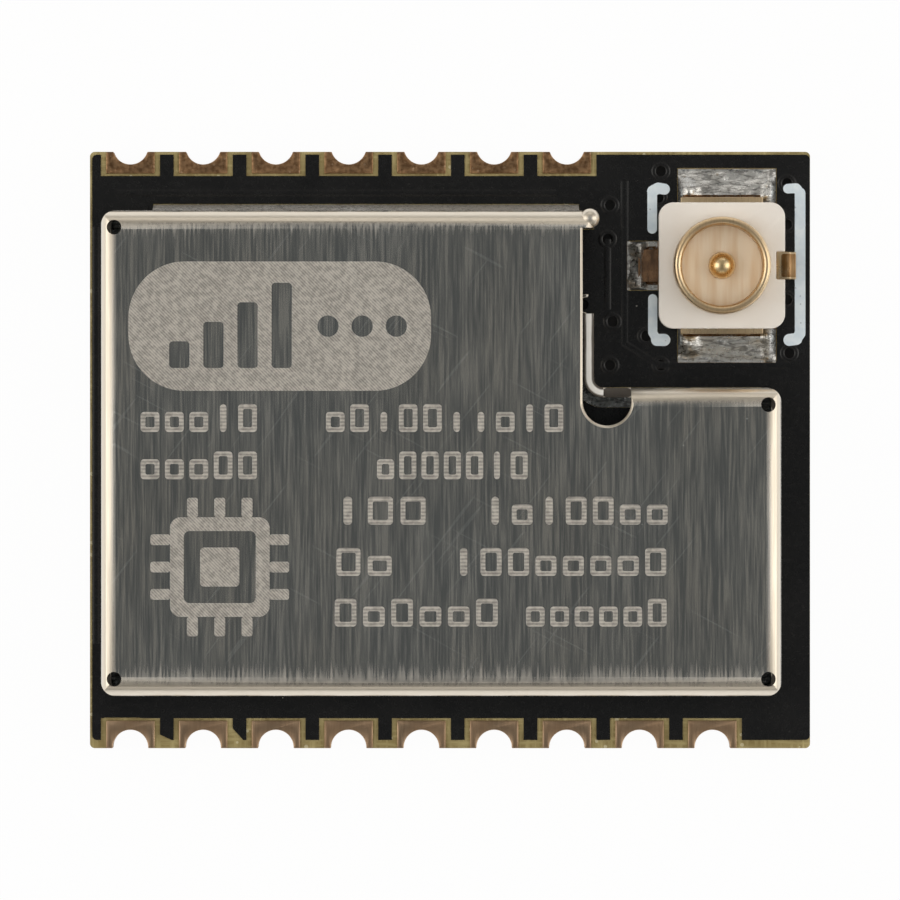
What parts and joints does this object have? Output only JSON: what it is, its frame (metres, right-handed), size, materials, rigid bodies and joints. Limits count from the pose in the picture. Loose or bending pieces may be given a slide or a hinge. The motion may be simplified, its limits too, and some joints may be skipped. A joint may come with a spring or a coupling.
{
  "type": "wireless radio module",
  "caption": "Small surface-mount radio board with plated half-round edge contacts, a folded metal shield can over its circuit and a miniature coaxial aerial socket.",
  "frame": {"origin": "middle of the board's outline, on the plane of the back contact pads' outer faces", "axes": "+X along the board's long side towards the socket's end, +Y towards the shorter row of contacts, +Z out of the component side"},
  "size_m": [0.0148, 0.0122, 0.003],
  "materials": {
    "laminate": "bare glass-fibre laminate, cut edge",
    "solder_mask": "black solder mask, semi-gloss",
    "edge_gold": "thin gold over nickel, dull",
    "copper": "plated copper",
    "shield_metal": "brushed nickel silver sheet",
    "solder": "solder, smooth and bright",
    "socket_plastic": "cream liquid-crystal polymer",
    "socket_gold": "gold plating, bright",
    "chip_mould": "black moulding compound",
    "tinned_metal": "matte tin",
    "dark_ceramic": "dark ceramic",
    "capacitor_ceramic": "tan ceramic",
    "inductor_ceramic": "pale ceramic",
    "resistor_ceramic": "black resistive face"
  },
  "bodies": {
    "root": {"board_laminate": "laminate", "front_solder_mask": "solder_mask", "back_solder_mask": "solder_mask", "plated_vias": "copper", "edge_contact_01": "edge_gold", "edge_contact_02": "edge_gold", "edge_contact_03": "edge_gold", "edge_contact_04": "edge_gold", "edge_contact_05": "edge_gold", "edge_contact_06": "edge_gold", "edge_contact_07": "edge_gold", "edge_contact_08": "edge_gold", "edge_contact_09": "edge_gold", "edge_contact_10": "edge_gold", "edge_contact_11": "edge_gold", "edge_contact_12": "edge_gold", "edge_contact_13": "edge_gold", "edge_contact_14": "edge_gold", "edge_contact_15": "edge_gold", "edge_contact_16": "edge_gold", "shield_can": "shield_metal", "shield_ground_track": "solder", "coax_insulator": "socket_plastic", "coax_shell": "socket_gold", "coax_contact": "socket_gold", "coax_lands": "copper", "coax_solder": "solder", "radio_chip": "chip_mould", "radio_chip_leads": "tinned_metal", "crystal_base": "dark_ceramic", "crystal_lid": "shield_metal", "load_capacitor_1": "capacitor_ceramic", "load_capacitor_2": "capacitor_ceramic", "supply_capacitor_1": "capacitor_ceramic", "supply_capacitor_2": "capacitor_ceramic", "supply_capacitor_3": "capacitor_ceramic", "bulk_capacitor": "capacitor_ceramic", "match_capacitor_1": "capacitor_ceramic", "match_capacitor_2": "capacitor_ceramic", "match_inductor": "inductor_ceramic", "bias_resistor": "resistor_ceramic", "reset_resistor": "resistor_ceramic", "enable_resistor": "resistor_ceramic", "part_terminals": "tinned_metal", "part_lands": "copper", "part_solder": "solder"}
  },
  "joints": []
}
